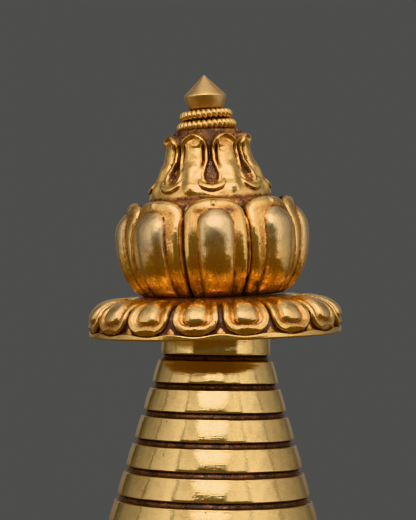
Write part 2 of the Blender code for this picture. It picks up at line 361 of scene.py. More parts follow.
def ring_stack_tree(material):
    """Repeats one ring's profile up a taper and turns each copy about the axis."""
    tree, given = shape_tree("ring stack", RING_SIZES)
    size = given.outputs
    step = add(tree, "ShaderNodeMath", {0: size["Step"], 1: -1.0}, operation="MULTIPLY")
    rise = add(tree, "ShaderNodeCombineXYZ", {"X": step, "Y": size["Pitch"]})
    start = add(tree, "ShaderNodeCombineXYZ", {"X": size["Foot radius"]})
    feet = add(
        tree,
        "GeometryNodeMeshLine",
        {"Count": size["Rings"], "Start Location": start, "Offset": rise},
        mode="OFFSET",
    )
    copies = add(
        tree, "GeometryNodeInstanceOnPoints", {"Points": feet, "Instance": size["Geometry"]}
    )
    lines = add(tree, "GeometryNodeRealizeInstances", {"Geometry": copies})
    at = add(tree, "GeometryNodeInputPosition", {})
    parts = add(tree, "ShaderNodeSeparateXYZ", {"Vector": at})
    inside = add(tree, "FunctionNodeCompare", {0: parts.outputs["X"], 1: 0.0}, operation="LESS_THAN")
    on_axis = add(tree, "ShaderNodeCombineXYZ", {"Y": parts.outputs["Y"]})
    closed = add(
        tree,
        "GeometryNodeSetPosition",
        {"Geometry": lines, "Selection": inside, "Position": on_axis},
    )
    profiles = add(tree, "GeometryNodeMeshToCurve", {"Mesh": closed})
    hub = add(
        tree,
        "GeometryNodeCurvePrimitiveCircle",
        {"Resolution": size["Sides"], "Radius": HUB_RADIUS * MM},
    )
    upright = add(tree, "GeometryNodeSetCurveNormal", {"Curve": hub}, mode="Z_UP")
    inward = add(
        tree,
        "GeometryNodeTransform",
        {
            "Geometry": profiles,
            "Translation": (-HUB_RADIUS * MM, 0.0, 0.0),
            "Scale": (1.0, -1.0, 1.0),
        },
    )
    swept = add(
        tree,
        "GeometryNodeCurveToMesh",
        {"Curve": upright, "Profile Curve": inward},
    )
    joined = add(tree, "GeometryNodeMergeByDistance", {"Geometry": swept, "Distance": 0.002 * MM})
    spot = add(tree, "GeometryNodeInputPosition", {})
    flat = add(tree, "ShaderNodeVectorMath", {0: spot, 1: (1.0, 1.0, 0.0)}, operation="MULTIPLY")
    outward = add(tree, "ShaderNodeVectorMath", {0: flat}, operation="NORMALIZE")
    facets_at = add(
        tree, "ShaderNodeVectorMath", {0: spot, 1: (1.0, 1.0, 1.3)}, operation="MULTIPLY"
    )
    facet_scale = add(tree, "ShaderNodeMath", {0: 1.0, 1: size["Facet width"]}, operation="DIVIDE")
    facets = add(
        tree,
        "ShaderNodeTexNoise",
        {"Vector": facets_at, "Scale": facet_scale, "Detail": 0.0},
    )
    level = add(tree, "ShaderNodeMath", {0: facets, 1: -0.5}, operation="ADD")
    depth = add(
        tree, "ShaderNodeMath", {0: level, 1: size["Facet depth"]}, operation="MULTIPLY"
    )
    filed = add(tree, "ShaderNodeVectorMath", {0: outward, "Scale": depth}, operation="SCALE")
    drift_scale = add(tree, "ShaderNodeMath", {0: 1.0, 1: size["Drift length"]}, operation="DIVIDE")
    wander = add(
        tree, "ShaderNodeTexNoise", {"Vector": spot, "Scale": drift_scale, "Detail": 2.0}
    )
    wander_level = add(tree, "ShaderNodeMath", {0: wander, 1: -0.5}, operation="ADD")
    wander_rise = add(
        tree, "ShaderNodeMath", {0: wander_level, 1: size["Drift"]}, operation="MULTIPLY"
    )
    lifted = add(tree, "ShaderNodeCombineXYZ", {"Z": wander_rise})
    moved = add(tree, "ShaderNodeVectorMath", {0: filed, 1: lifted}, operation="ADD")
    hand_worked = add(
        tree, "GeometryNodeSetPosition", {"Geometry": joined, "Offset": moved}
    )
    finished = add(
        tree, "GeometryNodeSetMaterial", {"Geometry": hand_worked, "Material": material}
    )
    add(tree, "NodeGroupOutput", {"Geometry": finished})
    return tree


def arc(centre, radius, start, end, count):
    """Points on an arc, from start to end in degrees, as (outward, height)."""
    turns = [math.radians(start + (end - start) * step / count) for step in range(count + 1)]
    return [
        (centre[0] + radius * math.cos(turn), centre[1] + radius * math.sin(turn))
        for turn in turns
    ]


def profile_mesh(name, points, recesses):
    """A line of (outward, height) points in millimetres, with how recessed each one is."""
    data = bpy.data.meshes.new(name)
    places = [(outward * MM, height * MM, 0.0) for outward, height in points]
    data.from_pydata(places, [(at, at + 1) for at in range(len(places) - 1)], [])
    data.attributes.new("recess", "FLOAT", "POINT").data.foreach_set("value", recesses)
    return data


BURNISHED_GOLD = (
    (0.0, "#EDC988"),
    (0.17, "#DFB375"),
    (0.35, "#CE9A66"),
    (0.55, "#A2704C"),
    (0.78, "#6E4A36"),
    (1.0, "#3C2C24"),
)
PALE_GILT = "#D9BC94"
burnished = gilding(
    "burnished fire gilding",
    BURNISHED_GOLD,
    PALE_GILT,
    polish=0.065,
    dull=0.5,
    strokes=(0.3, 0.3, 3.0),
    follows_surface=False,
    pitting=0.8,
    tooling=0.045,
    grain=0.045,
    mottling=0.9,
)

ring_boxes = [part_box(name) for name in RING_NAMES]
ring_feet = [low.z / MM for low, high in ring_boxes]
ring_radii = [(high.x - low.x) / 2 / MM for low, high in ring_boxes]
RING_PITCH = (ring_feet[-1] - ring_feet[0]) / 11
RING_STEP = (ring_radii[0] - ring_radii[-1]) / 11


def groove(height):
    """How far the groove's bottom lies inside the ring's foot, at a height above it."""
    return -GROOVE_DEPTH - RING_STEP * height / RING_PITCH


shoulder = RING_BAND - 0.75
face = [
    (
        -RING_DRAFT * share + RING_SWELL * math.sin(math.pi * share),
        FOOT_ROUNDING + (shoulder - FOOT_ROUNDING) * share,
    )
    for share in (0.12, 0.3, 0.5, 0.7, 0.88)
]
ring_profile = [
    (AXIS, 0.0),
    (groove(0) - 1.5, 0.0),
    *arc((-FOOT_ROUNDING, FOOT_ROUNDING), FOOT_ROUNDING, -90, 0, 4),
    *face,
    *arc((-RING_DRAFT - 0.5, shoulder), 0.5, 0, 80, 4),
    (groove(RING_BAND) + 0.25, RING_BAND - 0.1),
    (groove(RING_BAND), RING_BAND + 0.15),
    (groove(RING_BAND + 0.6) + 0.12, RING_BAND + 0.6),
    (groove(RING_BAND + 1.0), RING_BAND + 1.0),
    (groove(RING_PITCH), RING_PITCH - 0.05),
    (AXIS, RING_PITCH - 0.05),
]
ring_recess = [1.0, 1.0, 0.5, 0.12, 0.0, 0.0, 0.0, *[0.0] * 5, 0.0, 0.0, 0.08, 0.3, 0.5]
ring_recess += [0.75, 0.9, 0.72, 0.86, 0.95, 1.0]
ring_start = profile_mesh("ring profile", ring_profile, ring_recess)
rings = grown(
    "spire_rings",
    ring_start,
    ring_stack_tree(burnished),
    {
        **RING_SIZES,
        "Pitch": RING_PITCH * MM,
        "Foot radius": ring_radii[0] * MM,
        "Step": RING_STEP * MM,
    },
)
close_up(rings.data)
fit(rings, RING_NAMES)


# The neck, the spire's thirteenth ring: a plain collar of the same casting, burnished as the
# rings are, whose top is cut on the slant of the parasol that leans on it.
PARASOL_HEIGHT = 112.2
PARASOL_OFFSET = -0.25
PARASOL_LEAN = (3.0, -2.4)
NECK_DRAFT = 0.25
NECK_SIDES = 192


def leaning(offset, height, lean):
    """A frame that stands off the axis and leans to the front and to the left, in millimetres."""
    turn = Euler([math.radians(angle) for angle in (*lean, 0)])
    return Matrix.Translation((offset, 0, height)) @ turn.to_matrix().to_4x4()


def in_metres(lean):
    """The same frame for meshes that are already in metres."""
    placed = lean.copy()
    placed.translation *= MM
    return placed


def on_axis(radius, angle, height):
    """Points at angles from the front, positive to the right."""
    turned = np.radians(angle)
    shape = np.broadcast_arrays(radius * np.sin(turned), -radius * np.cos(turned), height)
    return np.stack(shape, axis=-1)


def uneven(angle, height, seed, waves=9):
    """Slow unevenness of hand work round a turned piece, mostly within -1 and 1."""
    chance = np.random.default_rng(seed)
    total = 0.0
    for wave in range(2, waves):
        phase, drift = chance.uniform(0, math.tau, 2)
        total = total + np.sin(wave * np.radians(angle) + phase + height * drift / 9) / wave
    return total


def woven(name, grids, material):
    """One mesh from grids of (points, recess, wear, lay), whose touching edges are merged."""
    data = bpy.data.meshes.new(name)
    places, faces, values = [], [], []
    count = 0
    for points, recess, wear, lay in grids:
        rows, columns = points.shape[:2]
        index = np.arange(rows * columns).reshape(rows, columns) + count
        corners = (index[:-1, :-1], index[:-1, 1:], index[1:, 1:], index[1:, :-1])
        faces += np.stack(corners, axis=-1).reshape(-1, 4).tolist()
        places.append(points.reshape(-1, 3))
        one = np.ones((rows, columns))
        values.append([(one * recess).ravel(), (one * wear).ravel(), lay.reshape(-1, 3)])
        count += rows * columns
    data.from_pydata((np.concatenate(places) * MM).tolist(), [], faces)
    recesses, wears, lays = (np.concatenate(parts) for parts in zip(*values))
    data.attributes.new("recess", "FLOAT", "POINT").data.foreach_set("value", recesses)
    data.attributes.new("wear", "FLOAT", "POINT").data.foreach_set("value", wears)
    flat = (lays * MM).ravel()
    data.attributes.new("lay", "FLOAT_VECTOR", "POINT").data.foreach_set("vector", flat)
    data.materials.append(material)
    return data


def shown(name, data):
    piece = bpy.data.objects.new(name, data)
    bpy.context.scene.collection.objects.link(piece)
    return piece


def turned(name, profile, sides, material, work=None, wear=0.0):
    """A closed piece turned from (radius, height, recess) rows; work adds hand-made relief."""
    angle = np.linspace(0, 360, sides + 1)[None, :]
    radius, height, recess = (np.array(column)[:, None] for column in zip(*profile))
    if work:
        radius, height, recess = work(radius, angle, height, recess)
    angle, radius, height = np.broadcast_arrays(angle, radius, height)
    around = np.radians(angle) * radius
    lay = np.stack((around, height, np.zeros(height.shape)), axis=-1)
    return woven(name, [(on_axis(radius, angle, height), recess, wear, lay)], material)


parasol_frame = leaning(PARASOL_OFFSET, PARASOL_HEIGHT, PARASOL_LEAN)
neck_low, neck_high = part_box("neck_ring")
neck_foot = neck_low.z / MM
neck_radius = (neck_high.x - neck_low.x) / 2 / MM


def cut_neck(radius, angle, height, recess):
    """Brings the top rows under the leaning parasol, and leaves the file's unevenness."""
    upright = parasol_frame.to_3x3() @ Vector((0, 0, 1))
    x = radius * np.sin(np.radians(angle)) - PARASOL_OFFSET
    y = -radius * np.cos(np.radians(angle))
    ceiling = PARASOL_HEIGHT - (upright.x * x + upright.y * y) / upright.z - 0.1
    share = np.clip((height - neck_foot) / RING_BAND, 0, 1)
    height = height + (ceiling - neck_foot - RING_BAND) * share
    return radius + 0.05 * uneven(angle, height, 5) * (radius > 1), height, recess


# The top rows darken towards the parasol: painted shadow under its rim, darkest at the joint.
neck_profile = (
    (0.0, neck_foot, 1.0),
    (neck_radius - 3, neck_foot, 1.0),
    (neck_radius - FOOT_ROUNDING, neck_foot, 0.5),
    (neck_radius - FOOT_ROUNDING / 4, neck_foot + FOOT_ROUNDING / 4, 0.1),
    (neck_radius, neck_foot + FOOT_ROUNDING, 0.0),
    (neck_radius - 0.02, neck_foot + 2.0, 0.0),
    (neck_radius - 0.1, neck_foot + 4.0, 0.0),
    (neck_radius - 0.2, neck_foot + 5.8, 0.08),
    (neck_radius - NECK_DRAFT, neck_foot + RING_BAND - 0.4, 0.35),
    (neck_radius - NECK_DRAFT, neck_foot + RING_BAND, 0.8),
    (0.0, neck_foot + RING_BAND, 1.0),
)
neck_mesh = turned("neck_collar", neck_profile, NECK_SIDES, burnished, cut_neck)
close_up(neck_mesh)
fit(shown("neck_collar", neck_mesh), ["neck_ring"])


# The parasol's disc, a pillow-edged casting that the petals were chased into. Its plain rim
# stands proud of them, worn bright, and its crown near the bud keeps a pinkish-brown bloom.
RIM_RADIUS = 40.0
RIM_HEIGHT = 1.6
RIM_SCALLOP = 0.4  # the rim rises between the petals and dips below them
PILLOW_CENTRE = (3.8, 30.0)
PILLOW_AXES = (6.0, 8.5)
PILLOW_POWER = 2.4
PILLOW_TOP_SHARE = 0.32  # of the way from the bud to the rim
PILLOW_EDGE_SHARE = 0.9
CROWN_HEIGHT = 11.3
CROWN_RADIUS = 23.0
PETAL_SEAT_HEIGHT = 1.2
PARASOL_PETALS = 16
CROWN_COVER = 0.9  # the smooth crown that the petals' roots sink into
DISC_SIDES = 384


def rounded(across, power=2.0):
    """Height of a round end, 1 in the middle and 0 at across = -1 and 1."""
    return np.clip(1 - np.abs(across) ** power, 0, 1) ** (1 / power)


def eased(value, low, high):
    """0 before low and 1 after high, with a soft start and end."""
    share = np.clip((value - low) / (high - low), 0, 1)
    return share * share * (3 - 2 * share)


def through(value, points):
    """A soft line through (place, height) points, level at each of them."""
    total = points[0][1]
    for (low, first), (high, last) in zip(points, points[1:]):
        total = total + (last - first) * eased(value, low, high)
    return total


def parasol_face(share, lift):
    """(radius, height) over the upper face, from the bud (0) to the rim (1)."""
    centre_height, centre_radius = PILLOW_CENTRE
    high, wide = (axis + lift for axis in PILLOW_AXES)
    inward = 1 - share / PILLOW_TOP_SHARE
    rise = CROWN_HEIGHT - centre_height - PILLOW_AXES[0]
    crown = (centre_radius + (CROWN_RADIUS - centre_radius) * inward, centre_height + high)
    crown = (crown[0], crown[1] + rise * inward)
    turn = (share - PILLOW_TOP_SHARE) / (PILLOW_EDGE_SHARE - PILLOW_TOP_SHARE)
    turn = np.clip(turn, 0, 1) * math.pi / 2
    power = 2 / PILLOW_POWER
    level = np.clip(np.cos(turn), 0, 1) ** power
    pillow = (centre_radius + wide * np.sin(turn) ** power, centre_height + high * level)
    drop = np.clip((share - PILLOW_EDGE_SHARE) / (1 - PILLOW_EDGE_SHARE), 0, 1)
    skirt = pillow[1] + (PETAL_SEAT_HEIGHT - centre_height) * drop
    on_crown = share < PILLOW_TOP_SHARE
    return np.where(on_crown, crown[0], pillow[0]), np.where(on_crown, crown[1], skirt)


CHASED_GOLD = (
    (0.0, "#F9CD82"),
    (0.2, "#F0BE79"),
    (0.42, "#DEA05A"),
    (0.62, "#B87F50"),
    (0.8, "#88614E"),
    (1.0, "#52403A"),
)
chased = gilding(
    "chased fire gilding",
    CHASED_GOLD,
    PALE_GILT,
    polish=0.18,
    dull=0.55,
    strokes=(3.2, 0.25, 1.0),
    follows_surface=True,
    pitting=0.7,
    tooling=0.2,
    grain=0.08,
    mottling=1.5,
)
bloomed = gilding(
    "brown bloom over gilding",
    (
        (0.0, "#F5CB84"),
        (0.3, "#DDA468"),
        (0.5, "#C4957A"),
        (0.72, "#9C7666"),
        (1.0, "#6C544F"),
    ),
    PALE_GILT,
    polish=0.2,
    dull=0.5,
    strokes=(1.5, 1.5, 1.0),
    follows_surface=True,
    pitting=0.5,
    tooling=0.12,
    grain=0.07,
    mottling=1.2,
)

disc_angle = np.linspace(0, 360, DISC_SIDES + 1)[None, :]
between = np.cos(np.radians(disc_angle * PARASOL_PETALS))  # 1 between two petals
rim_top = RIM_HEIGHT + RIM_SCALLOP * between + 0.12 * uneven(disc_angle, 0, 11, 24)
under_rows = [(0.0, 0.02), (12.0, 0.02), (24.0, 0.02), (34.0, 0.0), (39.5, 0.0)]
rim_rows = [(39.8, 0.06), (39.95, 0.22), (40.0, 0.6)]
disc_radius = [radius + 0 * disc_angle for radius, height in under_rows + rim_rows]
disc_height = [height + 0 * disc_angle for radius, height in under_rows + rim_rows]
disc_recess = [np.full(disc_angle.shape, 0.2)] * len(under_rows)
disc_recess += [0 * disc_angle + value for value in (0.2, 0.05, 0.0)]
for inset, drop, value in ((0.0, 0.35, 0.0), (0.08, 0.1, 0.0), (0.35, 0.0, 0.05), (0.8, 0.1, 0.4)):
    disc_radius.append(RIM_RADIUS - inset + 0.1 * uneven(disc_angle, 3, 12, 24) * (inset > 0))
    disc_height.append(rim_top - drop)
    disc_recess.append(0 * disc_angle + value)
for share in np.linspace(1.0, 0.0, 34):
    cover = CROWN_COVER * (1 - eased(share, 0.1, 0.3))
    radius, height = parasol_face(np.array([[share]]), cover)
    disc_radius.append(radius + 0 * disc_angle)
    disc_height.append(height + 0.05 * uneven(disc_angle, share * 9, 13))
    disc_recess.append(0 * disc_angle + 0.95 - 0.45 * (1 - eased(share, 0.12, 0.34)))
disc_radius.append(0 * disc_angle)
disc_height.append(0 * disc_angle + CROWN_HEIGHT)
disc_recess.append(0 * disc_angle + 1.0)
disc_radius, disc_height, disc_recess = (
    np.concatenate(rows) for rows in (disc_radius, disc_height, disc_recess)
)
disc_turn = np.broadcast_to(disc_angle, disc_radius.shape)
disc_lay = np.stack((np.radians(disc_turn) * 30, disc_radius, 0 * disc_radius), axis=-1)
disc_wear = 0.8 * (disc_height < 0.07) * (disc_radius < RIM_RADIUS)
disc_grid = (on_axis(disc_radius, disc_turn, disc_height), disc_recess, disc_wear, disc_lay)
disc_mesh = woven("parasol_plate", [disc_grid], bloomed)
close_up(disc_mesh, in_metres(parasol_frame))
fit(shown("parasol_plate", disc_mesh), ["parasol_disc"])


# Sixteen lotus petals round the parasol. Each was cast in relief and then chased: a rounded
# border like a U, a channel left orange, a drop-shaped boss rubbed pale, and a turned-up tip.
PETAL_HALF_WIDTH = 11.0
PETAL_ROOT = 0.06
PETAL_ROUND_END = 0.24
PETAL_END_POWER = 2.4
PETAL_END_LENGTH = 5.0  # of the rounded end, in millimetres
DROP_WIDTH = 0.47  # half width of the boss, as a share of the petal's own
DROP_END = 0.87
LEAF_HALF_WIDTH = 3.9  # degrees; the leaf tips that fill the corners at the rim
WREATH_SIZES = {
    "Petals": 16,
    "First turn": 0.0,
    "Turn error": 0.0,
    "Size error": 0.0,
    "Dent depth": 0.0,
    "Dent width": 0.0,
    "Seed": 0,
}


def wreath_tree(material):
    """Sets a petal round the axis, each a little different, as hand-chased petals are."""
    tree, given = shape_tree("petal wreath", WREATH_SIZES)
    size = given.outputs
    spots = add(tree, "GeometryNodePoints", {"Count": size["Petals"]})
    number = add(tree, "GeometryNodeInputIndex", {})
    step = add(tree, "ShaderNodeMath", {0: math.tau, 1: size["Petals"]}, operation="DIVIDE")
    even = add(
        tree,
        "ShaderNodeMath",
        {0: number, 1: step, 2: size["First turn"]},
        operation="MULTIPLY_ADD",
    )
    slip = add(tree, "FunctionNodeRandomValue", {2: -1.0, 3: 1.0, "Seed": size["Seed"]})
    slipped = add(
        tree,
        "ShaderNodeMath",
        {0: slip.outputs[1], 1: size["Turn error"], 2: even},
        operation="MULTIPLY_ADD",
    )
    turn = add(tree, "ShaderNodeCombineXYZ", {"Z": slipped})
    other = add(tree, "ShaderNodeMath", {0: size["Seed"], 1: 7.0}, operation="ADD")
    growth = add(tree, "FunctionNodeRandomValue", {2: -1.0, 3: 1.0, "Seed": other})
    scale = add(
        tree,
        "ShaderNodeMath",
        {0: growth.outputs[1], 1: size["Size error"], 2: 1.0},
        operation="MULTIPLY_ADD",
    )
    scales = add(tree, "ShaderNodeCombineXYZ", {"X": scale, "Y": 1.0, "Z": 1.0})
    petals = add(
        tree,
        "GeometryNodeInstanceOnPoints",
        {
            "Points": spots,
            "Instance": size["Geometry"],
            "Rotation": turn,
            "Scale": scales,
        },
    )
    real = add(tree, "GeometryNodeRealizeInstances", {"Geometry": petals})
    per_metre = add(tree, "ShaderNodeMath", {0: 1.0, 1: size["Dent width"]}, operation="DIVIDE")
    dents = add(
        tree,
        "ShaderNodeTexNoise",
        {"W": size["Seed"], "Scale": per_metre, "Detail": 2.0},
        noise_dimensions="4D",
    )
    level = add(
        tree,
        "ShaderNodeVectorMath",
        {0: dents.outputs["Color"], 1: (0.5, 0.5, 0.5)},
        operation="SUBTRACT",
    )
    push = add(
        tree, "ShaderNodeVectorMath", {0: level, "Scale": size["Dent depth"]}, operation="SCALE"
    )
    dented = add(tree, "GeometryNodeSetPosition", {"Geometry": real, "Offset": push})
    finished = add(tree, "GeometryNodeSetMaterial", {"Geometry": dented, "Material": material})
    add(tree, "NodeGroupOutput", {"Geometry": finished})
    return tree


def across_and_along(columns, rows):
    """A petal's own directions: -1 to 1 across it, and 0 to 1 from root to tip."""
    return np.meshgrid(np.linspace(-1, 1, columns + 1), np.linspace(0, 1, rows + 1))


def shell(front, back, recess, wear, lay):
    """The grids of a closed petal, whose back shares the front's edge."""
    back = back.copy()
    back[0], back[-1] = front[0], front[-1]
    back[:, 0], back[:, -1] = front[:, 0], front[:, -1]
    return [(front, recess, wear, lay), (back, 1.0, 0.0, lay)]


def distance_in(across, beyond, width, length, power):
    """Millimetres from a petal's outline; beyond is 0 to 1 through its rounded end."""
    reach = (np.abs(across) ** power + beyond**power) ** (1 / power)
    near = np.maximum(reach, 0.05)
    sideways = (np.abs(across) / near) ** (power - 1) / width
    endways = (beyond / near) ** (power - 1) / length
    return (1 - reach) / np.maximum(np.hypot(sideways, endways), 1 / 12)


s, t = across_and_along(46, 62)
end = 1 - PETAL_ROUND_END * (1 - rounded(s, PETAL_END_POWER))
share = PETAL_ROOT + (end - PETAL_ROOT) * t
bare_radius, bare_height = parasol_face(share, 0.0)
width = bare_radius * math.sin(math.radians(PETAL_HALF_WIDTH))
beyond = np.clip((share - (1 - PETAL_ROUND_END)) / PETAL_ROUND_END, 0, 1)
inset = distance_in(s, beyond, width, PETAL_END_LENGTH, PETAL_END_POWER)
border = through(inset, ((0.0, -0.3), (0.25, 0.5), (0.8, 1.5), (1.9, 1.4), (3.0, 0.45)))
drop_width = DROP_WIDTH * (0.45 + 0.55 * eased(share, 0.1, 0.6))
drop_end = np.clip((share - DROP_END + 0.13) / 0.13, 0, None)
drop_reach = np.abs(s / drop_width) ** 2.6 + drop_end**3.5
boss = 1.7 * np.clip(1 - drop_reach, 0, 1) ** 0.42
facet_top = 1.75 - 0.75 * np.abs(s) / 0.4 + 0.5 * eased(np.abs(s), 0.1, 0.0)
facet = (1 - eased(inset - facet_top, -0.12, 0.12)) * eased(np.abs(s), 0.42, 0.34)
facet = facet * eased(beyond, 0.2, 0.5)
lift = border + boss
lift = lift + facet * (0.5 + 0.8 * inset / 1.75 - border) + 0.25 * eased(beyond, 0.3, 0.8)
rooted = eased(share, 0.1, 0.32)
lift = -0.3 + (lift + 0.3) * rooted
petal_radius, petal_height = parasol_face(share, lift)
petal_front = on_axis(petal_radius, s * PETAL_HALF_WIDTH, petal_height)
back_radius, back_height = parasol_face(share, -0.6)
petal_back = on_axis(back_radius, s * PETAL_HALF_WIDTH, back_height)
channel = np.exp(-(((drop_reach - 1.15) / 0.4) ** 2)) * (drop_reach > 0.8)
edge_soil = 1 - eased(inset, 0.1, 0.75)
under_boss = np.exp(-(((drop_reach - 1.2) / 0.3) ** 2)) * eased(drop_end, 0.1, 0.6)
petal_recess = np.maximum(0.10 + 0.2 * (inset > 1.2) * eased(inset, 1.2, 2.4), 0.0)
petal_recess = np.where(inset < 1.2, 0.05, petal_recess)
petal_recess = np.where(drop_reach < 0.9, 0.06, petal_recess)
petal_recess = np.maximum(petal_recess, 0.45 * channel)
petal_recess = np.maximum(petal_recess, edge_soil)
petal_recess = np.maximum(petal_recess, 0.8 * under_boss)
petal_recess = np.maximum(petal_recess, 0.2 * facet)
petal_recess = np.maximum(petal_recess, 0.5 * (1 - eased(share, 0.1, 0.34)))
petal_wear = eased(drop_reach, 1.0, 0.8) * eased(share, 0.2, 0.4) * 0.4
petal_lay = np.stack((s * width, share * 24, 0 * s), axis=-1)
leaf_s, leaf_t = across_and_along(12, 16)
leaf_share = 0.9 + 0.09 * leaf_t
leaf_width = leaf_t**0.8 * rounded(np.clip((leaf_t - 0.75) / 0.25, 0, 1))
leaf_angle = 180 / PARASOL_PETALS + leaf_s * LEAF_HALF_WIDTH * leaf_width
leaf_lift = (0.4 * rounded(leaf_s) + 0.45 * (1 - np.abs(leaf_s))) * leaf_width
leaf_radius, leaf_height = parasol_face(leaf_share, leaf_lift)
leaf_front = on_axis(leaf_radius, leaf_angle, leaf_height)
under_radius, under_height = parasol_face(leaf_share, -0.5)
leaf_back = on_axis(under_radius, leaf_angle, under_height)
leaf_recess = 0.42 + 0.5 * eased(np.abs(leaf_s), 0.55, 0.95)
leaf_lay = np.stack((leaf_s * 2, leaf_share * 24, 0 * leaf_s), axis=-1)
petal_sheet = shell(petal_front, petal_back, petal_recess, petal_wear, petal_lay)
leaf_sheet = shell(leaf_front, leaf_back, leaf_recess, 0.0, leaf_lay)
parasol_petal = woven("parasol petal", petal_sheet + leaf_sheet, chased)
wreath = wreath_tree(chased)
step = math.tau / PARASOL_PETALS
parasol_petals = grown(
    "parasol_petals",
    parasol_petal,
    wreath,
    {
        "Petals": PARASOL_PETALS,
        "First turn": step / 2,
        "Turn error": math.radians(0.3),
        "Size error": 0.02,
        "Dent depth": 0.45 * MM,
        "Dent width": 7.0 * MM,
        "Seed": 3,
    },
)
close_up(parasol_petals.data, in_metres(parasol_frame))
petal_nodes = [f"parasol_petal_{number:02d}" for number in range(1, PARASOL_PETALS + 1)]
fit(parasol_petals, petal_nodes)


# The eight petals of the lotus bud. They were cast with the bud, chased along their borders,
# and rubbed until the long smooth bosses show the pale alloy through the thin gilding.
BUD_OFFSET = 0.35
BUD_SEAT = 0.86
BUD_LEAN = (1.0, -1.65)
BUD_CREST = 30.3
BUD_POWER = 2.2
BUD_WAIST_HEIGHT = 17.5
BUD_LOWER_HALF = 24.7
BUD_UPPER_HALF = 20.6
BUD_PETALS = 8
BUD_HALF_WIDTH = 22.25
BUD_FOOT = 0.2
BUD_SPRING = 25.0
BUD_ARCH = 5.8
BUD_ARCH_POWER = 2.6
BOSS_RISE = 1.5
BOSS_HALF_ANGLE = 11.0
BOSS_TOP = 27.3
BOSS_SHOULDER = 21.6  # where its straight sides turn into its round top
BUD_ROUNDING = 1.8
TIP_HEIGHT = 24.5
TIP_RADIUS = 24.7
TIP_THICKNESS = 1.6
CORE_DEPTH = 5.0

bud_frame = parasol_frame @ leaning(BUD_OFFSET, CROWN_HEIGHT + BUD_SEAT, BUD_LEAN)


def bud_crest(height):
    """Radius over the middle of a petal."""
    half = np.where(height < BUD_WAIST_HEIGHT, BUD_LOWER_HALF, BUD_UPPER_HALF)
    return BUD_CREST * rounded((height - BUD_WAIST_HEIGHT) / half, BUD_POWER)


s, t = across_and_along(64, 94)
top = BUD_SPRING + BUD_ARCH * rounded(s, BUD_ARCH_POWER)
height = BUD_FOOT + (top - BUD_FOOT) * t
angle = s * BUD_HALF_WIDTH
face_radius = bud_crest(np.minimum(height, TIP_HEIGHT)) - BOSS_RISE
flare = np.clip((height - TIP_HEIGHT) / (BUD_SPRING + BUD_ARCH - TIP_HEIGHT), 0, 1)
face_radius = face_radius + (TIP_RADIUS - face_radius) * flare - BUD_ROUNDING * s**2
width = bud_crest(np.minimum(height, 20.0)) * math.sin(math.radians(BUD_HALF_WIDTH))
beyond = np.clip((height - BUD_SPRING) / BUD_ARCH, 0, 1)
inset = distance_in(s, beyond, width, BUD_ARCH, BUD_ARCH_POWER)
border = through(
    inset, ((0.0, -1.3), (0.3, -0.3), (0.95, 0.45), (2.0, 0.55), (5.4, -0.45))
)
border = border + 0.6 * eased(height, 13.0, 25.0) * eased(inset, 2.0, 5.4)
boss_top = np.clip((height - BOSS_SHOULDER) / (BOSS_TOP - BOSS_SHOULDER), 0, None)
boss_reach = np.abs(angle / BOSS_HALF_ANGLE) ** 2.5 + boss_top**2.3
boss = 2.15 * np.clip(1 - boss_reach, 0, 1) ** 0.5 * eased(height, -1.0, 3.0)
keel = np.clip(1 - np.abs(s + 0.02) / 0.1, 0, 1) * eased(height, BOSS_TOP + 0.9, BOSS_TOP + 2.2)
keel = keel * eased(inset, 0.0, 0.9)
lift = border + boss + 0.6 * keel
bud_front = on_axis(face_radius + lift, angle, height)
seat = bud_crest(height) - CORE_DEPTH
free = face_radius - TIP_THICKNESS
blend = eased(height, 20.0, 27.0)
bud_back = on_axis(seat + (free - seat) * blend, angle, height)
groove_line = np.exp(-(((boss_reach - 1.12) / 0.2) ** 2))
bud_recess = 0.12 + 0.2 * eased(inset, 1.8, 4.2)
bud_recess = bud_recess + 0.14 * eased(beyond, 0.0, 0.4) * eased(inset, 1.6, 2.6)
bud_recess = np.where(inset < 1.8, 0.06, bud_recess)
bud_recess = np.where(boss_reach < 0.95, 0.03, bud_recess)
bud_recess = np.maximum(bud_recess, 0.66 * groove_line)
bud_recess = np.maximum(bud_recess, 0.85 * (1 - eased(inset, 0.0, 0.5)))
bud_recess = np.maximum(bud_recess, 0.9 * (1 - eased(height, 0.2, 1.4)))
footing = (1 - eased(height, 1.0, 9.5)) * eased(boss_reach, 0.75, 1.1)
bud_recess = np.clip(bud_recess + 0.45 * footing, 0, 1)
# Painted reflection: the petals' lower part is tinted orange, standing in for the parasol's gold
# mirrored there.
painted_parasol_reflection = 0.34 * (1 - eased(height, 5.0, 17.0))
bud_recess = np.maximum(bud_recess, painted_parasol_reflection)
bud_wear = eased(boss_reach, 1.0, 0.85) * eased(height, 10.0, 20.0)
bud_lay = np.stack((s * width, height, 0 * s), axis=-1)
bud_sheet = shell(bud_front, bud_back, bud_recess, bud_wear, bud_lay)
bud_petal = woven("bud petal", bud_sheet, chased)
bud_petals = grown(
    "bud_petals",
    bud_petal,
    wreath,
    {
        "Petals": BUD_PETALS,
        "First turn": 0.0,
        "Turn error": math.radians(0.4),
        "Size error": 0.012,
        "Dent depth": 0.7 * MM,
        "Dent width": 11.0 * MM,
        "Seed": 8,
    },
)
close_up(bud_petals.data, in_metres(bud_frame))
fit(bud_petals, [f"bud_petal_{number}" for number in range(1, BUD_PETALS + 1)])


# The bud's ground between and behind the petals. Nobody could rub it, so it keeps its casting
# skin under dark granular soil, with a narrow orange back petal beside each gap.
soiled = gilding(
    "soiled casting skin",
    (
        (0.0, "#F0BC70"),
        (0.3, "#DDA062"),
        (0.5, "#BA7F55"),
        (0.75, "#806051"),
        (1.0, "#483732"),
    ),
    PALE_GILT,
    polish=0.34,
    dull=0.75,
    strokes=(2.0, 0.6, 1.0),
    follows_surface=True,
    pitting=0.4,
    tooling=0.3,
    grain=0.1,
    mottling=1.4,
)
CORE_ROWS = np.linspace(0.0, 24.0, 40)


